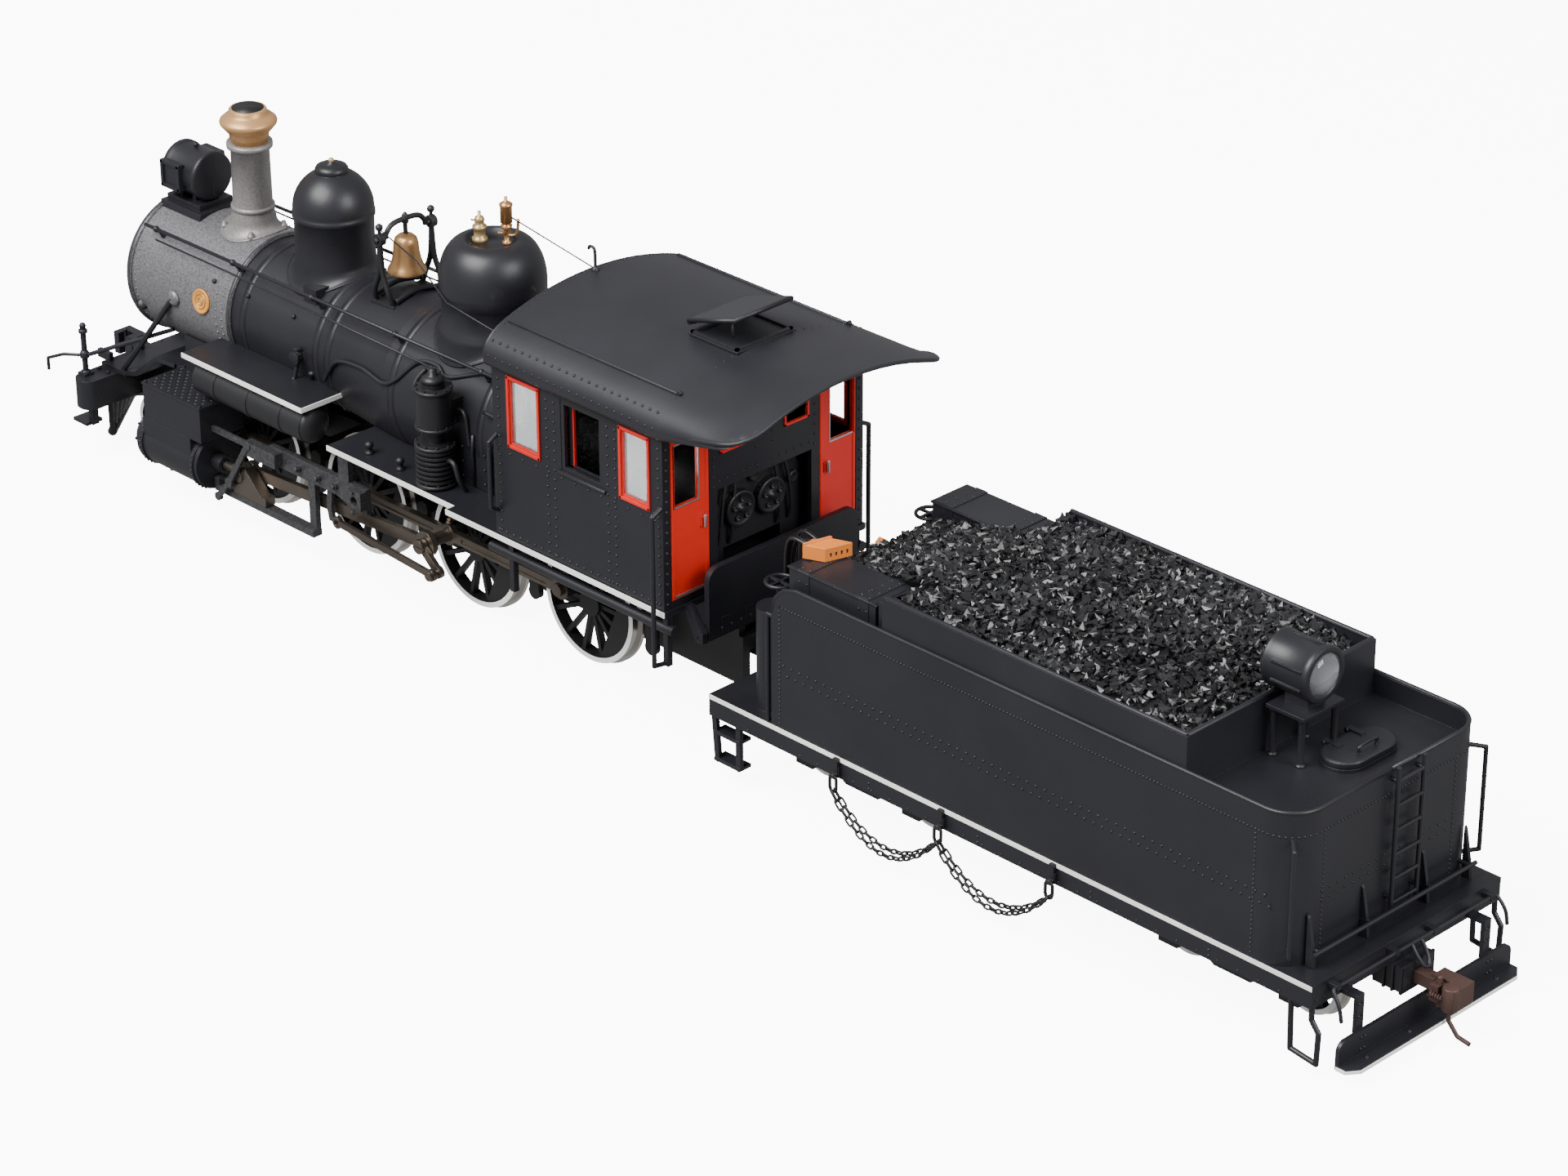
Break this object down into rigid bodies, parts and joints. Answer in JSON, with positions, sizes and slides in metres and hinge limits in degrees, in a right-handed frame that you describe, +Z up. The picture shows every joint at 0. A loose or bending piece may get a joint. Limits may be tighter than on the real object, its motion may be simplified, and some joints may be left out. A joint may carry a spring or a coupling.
{
  "type": "model steam locomotive",
  "caption": "Scale model steam locomotive with coal tender: spoked coupled driving wheels, outside rods, boiler, cab, opening hatches, swivelling trucks and couplers.",
  "frame": {"origin": "centre of the footprint, at the lowest edge of the wheel flanges", "axes": "+X forward along the track, +Y to the left side of the locomotive, +Z up"},
  "size_m": [0.3557, 0.0556, 0.082],
  "materials": {
    "satin_black": "satin black enamel",
    "graphite": "graphite paint with a fine metallic speckle",
    "black_metal": "chemically blackened casting",
    "rod_steel": "brushed steel, warm brown tone",
    "wheel_metal": "nickel treads, white painted tyre faces",
    "bronze": "antique bronze",
    "red_paint": "bright red enamel",
    "clear": "clear glazing",
    "coal": "glossy crushed coal",
    "orange_plastic": "orange nylon",
    "cord_black": "black wire insulation",
    "rust": "rust brown coupler",
    "motor_steel": "plated motor can"
  },
  "bodies": {
    "locomotive": {"air_equipment": "satin_black", "backhead": "satin_black", "bell_stand": "satin_black", "boiler_piping": "satin_black", "boiler_shell": "satin_black", "cab_body": "satin_black", "cab_roof": "satin_black", "cylinders": "satin_black", "drive_motor": "motor_steel", "front_headlight": "satin_black", "guide_hangers": "black_metal", "handrails": "satin_black", "loco_frame": "black_metal", "pilot": "satin_black", "running_boards": "satin_black", "sand_dome": "satin_black", "smokebox": "graphite", "smokebox_door": "graphite", "smokestack": "graphite", "stack_cap": "bronze", "steam_dome": "satin_black", "steam_fittings": "bronze", "window_frames": "red_paint", "window_glass": "clear"},
    "bell": {"bell": "bronze"},
    "roof_hatch": {"roof_hatch_lid": "satin_black"},
    "door_left": {"cab_door_left": "red_paint"},
    "door_right": {"cab_door_right": "red_paint"},
    "fall_plate": {"fall_plate": "satin_black"},
    "driver_axle_1": {"driver_wheels_1": "wheel_metal"},
    "driver_axle_2": {"driver_wheels_2": "wheel_metal"},
    "driver_axle_3": {"driver_wheels_3": "wheel_metal"},
    "driver_axle_4": {"driver_wheels_4": "wheel_metal"},
    "side_rod_left": {"side_rod_left": "rod_steel"},
    "main_rod_left": {"main_rod_left": "rod_steel"},
    "eccentric_rod_left": {"eccentric_rod_left": "rod_steel"},
    "crosshead_left": {"crosshead_left": "rod_steel"},
    "side_rod_right": {"side_rod_right": "rod_steel"},
    "main_rod_right": {"main_rod_right": "rod_steel"},
    "eccentric_rod_right": {"eccentric_rod_right": "rod_steel"},
    "crosshead_right": {"crosshead_right": "rod_steel"},
    "pilot_truck": {"pilot_truck": "black_metal"},
    "pilot_axle": {"pilot_wheels": "wheel_metal"},
    "worm": {"worm_shaft": "bronze"},
    "drawbar": {"drawbar": "black_metal"},
    "tender": {"tender_frame": "satin_black", "tender_tank": "satin_black", "coal_load": "coal", "tender_headlight": "satin_black", "side_chain": "black_metal", "harness_plug": "orange_plastic", "harness_wires": "cord_black"},
    "water_hatch": {"water_hatch_lid": "satin_black"},
    "truck_front": {"truck_front": "black_metal"},
    "truck_rear": {"truck_rear": "black_metal"},
    "truck_axle_1": {"truck_wheels_1": "wheel_metal"},
    "truck_axle_2": {"truck_wheels_2": "wheel_metal"},
    "truck_axle_3": {"truck_wheels_3": "wheel_metal"},
    "truck_axle_4": {"truck_wheels_4": "wheel_metal"},
    "rear_coupler": {"rear_coupler": "rust"}
  },
  "joints": [
    {"name": "main_axle_spin", "type": "hinge", "parent": "locomotive", "child": "driver_axle_3", "pos_m": [0.055, 0, 0.0126], "axis": [0, 1, 0], "continuous": true},
    {"name": "axle_1_spin", "type": "hinge", "parent": "locomotive", "child": "driver_axle_1", "pos_m": [0.119, 0, 0.0126], "axis": [0, 1, 0], "continuous": true},
    {"name": "axle_2_spin", "type": "hinge", "parent": "locomotive", "child": "driver_axle_2", "pos_m": [0.087, 0, 0.0126], "axis": [0, 1, 0], "continuous": true},
    {"name": "axle_4_spin", "type": "hinge", "parent": "locomotive", "child": "driver_axle_4", "pos_m": [0.023, 0, 0.0126], "axis": [0, 1, 0], "continuous": true},
    {"name": "side_rod_left_pin", "type": "hinge", "parent": "driver_axle_3", "child": "side_rod_left", "pos_m": [0.06019, 0.012, 0.0147], "axis": [0, 1, 0], "continuous": true},
    {"name": "main_rod_left_pin", "type": "hinge", "parent": "driver_axle_3", "child": "main_rod_left", "pos_m": [0.06019, 0.0178, 0.0147], "axis": [0, 1, 0], "continuous": true},
    {"name": "eccentric_rod_left_pin", "type": "hinge", "parent": "driver_axle_3", "child": "eccentric_rod_left", "pos_m": [0.05552, 0.02085, 0.01067], "axis": [0, 1, 0], "continuous": true},
    {"name": "crosshead_left_slide", "type": "slide", "parent": "locomotive", "child": "crosshead_left", "axis": [1, 0, 0], "range_m": [-0.01072, 0.00048]},
    {"name": "side_rod_right_pin", "type": "hinge", "parent": "driver_axle_3", "child": "side_rod_right", "pos_m": [0.0571, -0.012, 0.00741], "axis": [0, 1, 0], "continuous": true},
    {"name": "main_rod_right_pin", "type": "hinge", "parent": "driver_axle_3", "child": "main_rod_right", "pos_m": [0.0571, -0.0178, 0.00741], "axis": [0, 1, 0], "continuous": true},
    {"name": "eccentric_rod_right_pin", "type": "hinge", "parent": "driver_axle_3", "child": "eccentric_rod_right", "pos_m": [0.05307, -0.02085, 0.01208], "axis": [0, 1, 0], "continuous": true},
    {"name": "crosshead_right_slide", "type": "slide", "parent": "locomotive", "child": "crosshead_right", "axis": [1, 0, 0], "range_m": [-0.0075, 0.0037]},
    {"name": "worm_spin", "type": "hinge", "parent": "locomotive", "child": "worm", "pos_m": [0.055, 0, 0.0246], "axis": [1, 0, 0], "continuous": true},
    {"name": "pilot_truck_swivel", "type": "hinge", "parent": "locomotive", "child": "pilot_truck", "pos_m": [0.144, 0, 0.0095], "axis": [0, 0, 1], "range_deg": [-4, 4]},
    {"name": "pilot_axle_spin", "type": "hinge", "parent": "pilot_truck", "child": "pilot_axle", "pos_m": [0.1535, 0, 0.00645], "axis": [0, 1, 0], "continuous": true},
    {"name": "drawbar_swing", "type": "hinge", "parent": "locomotive", "child": "drawbar", "pos_m": [-0.012, 0, 0.013], "axis": [0, 0, 1], "range_deg": [-6, 6]},
    {"name": "tender_swing", "type": "hinge", "parent": "drawbar", "child": "tender", "pos_m": [-0.032, 0, 0.013], "axis": [0, 0, 1], "range_deg": [-6, 6]},
    {"name": "truck_front_swivel", "type": "hinge", "parent": "tender", "child": "truck_front", "pos_m": [-0.0525, 0, 0.01], "axis": [0, 0, 1], "range_deg": [-8, 8]},
    {"name": "truck_axle_1_spin", "type": "hinge", "parent": "truck_front", "child": "truck_axle_1", "pos_m": [-0.0393, 0, 0.00705], "axis": [0, 1, 0], "continuous": true},
    {"name": "truck_axle_2_spin", "type": "hinge", "parent": "truck_front", "child": "truck_axle_2", "pos_m": [-0.0657, 0, 0.00705], "axis": [0, 1, 0], "continuous": true},
    {"name": "truck_rear_swivel", "type": "hinge", "parent": "tender", "child": "truck_rear", "pos_m": [-0.139, 0, 0.01], "axis": [0, 0, 1], "range_deg": [-8, 8]},
    {"name": "truck_axle_3_spin", "type": "hinge", "parent": "truck_rear", "child": "truck_axle_3", "pos_m": [-0.1258, 0, 0.00705], "axis": [0, 1, 0], "continuous": true},
    {"name": "truck_axle_4_spin", "type": "hinge", "parent": "truck_rear", "child": "truck_axle_4", "pos_m": [-0.1522, 0, 0.00705], "axis": [0, 1, 0], "continuous": true},
    {"name": "rear_coupler_swing", "type": "hinge", "parent": "tender", "child": "rear_coupler", "pos_m": [-0.1635, 0, 0.0101], "axis": [0, 0, 1], "range_deg": [-10, 10]},
    {"name": "bell_swing", "type": "hinge", "parent": "locomotive", "child": "bell", "pos_m": [0.084, 0, 0.067], "axis": [0, 1, 0], "range_deg": [-40, 40]},
    {"name": "roof_hatch_hinge", "type": "hinge", "parent": "locomotive", "child": "roof_hatch", "pos_m": [-0.002, 0, 0.0772], "axis": [0, 1, 0], "range_deg": [-12, 50]},
    {"name": "door_left_hinge", "type": "hinge", "parent": "locomotive", "child": "door_left", "pos_m": [-0.0131, 0.0233, 0.048], "axis": [0, 0, 1], "range_deg": [0, 85]},
    {"name": "door_right_hinge", "type": "hinge", "parent": "locomotive", "child": "door_right", "pos_m": [-0.0131, -0.0233, 0.048], "axis": [0, 0, 1], "range_deg": [-85, 0]},
    {"name": "fall_plate_hinge", "type": "hinge", "parent": "locomotive", "child": "fall_plate", "pos_m": [-0.018, 0, 0.0243], "axis": [0, 1, 0], "range_deg": [-72, 0]},
    {"name": "water_hatch_hinge", "type": "hinge", "parent": "tender", "child": "water_hatch", "pos_m": [-0.1434, -0.0058, 0.0424], "axis": [0, 1, 0], "range_deg": [0, 35]}
  ],
  "couplings": [
    {"joint": "axle_1_spin", "follows": "main_axle_spin", "ratio": 1},
    {"joint": "axle_2_spin", "follows": "main_axle_spin", "ratio": 1},
    {"joint": "axle_4_spin", "follows": "main_axle_spin", "ratio": 1},
    {"joint": "side_rod_left_pin", "follows": "main_axle_spin", "ratio": -1},
    {"joint": "main_rod_left_pin", "follows": "main_axle_spin", "ratio": -1},
    {"joint": "eccentric_rod_left_pin", "follows": "main_axle_spin", "ratio": -1},
    {"joint": "side_rod_right_pin", "follows": "main_axle_spin", "ratio": -1},
    {"joint": "main_rod_right_pin", "follows": "main_axle_spin", "ratio": -1},
    {"joint": "eccentric_rod_right_pin", "follows": "main_axle_spin", "ratio": -1},
    {"joint": "worm_spin", "follows": "main_axle_spin", "ratio": 36}
  ]
}
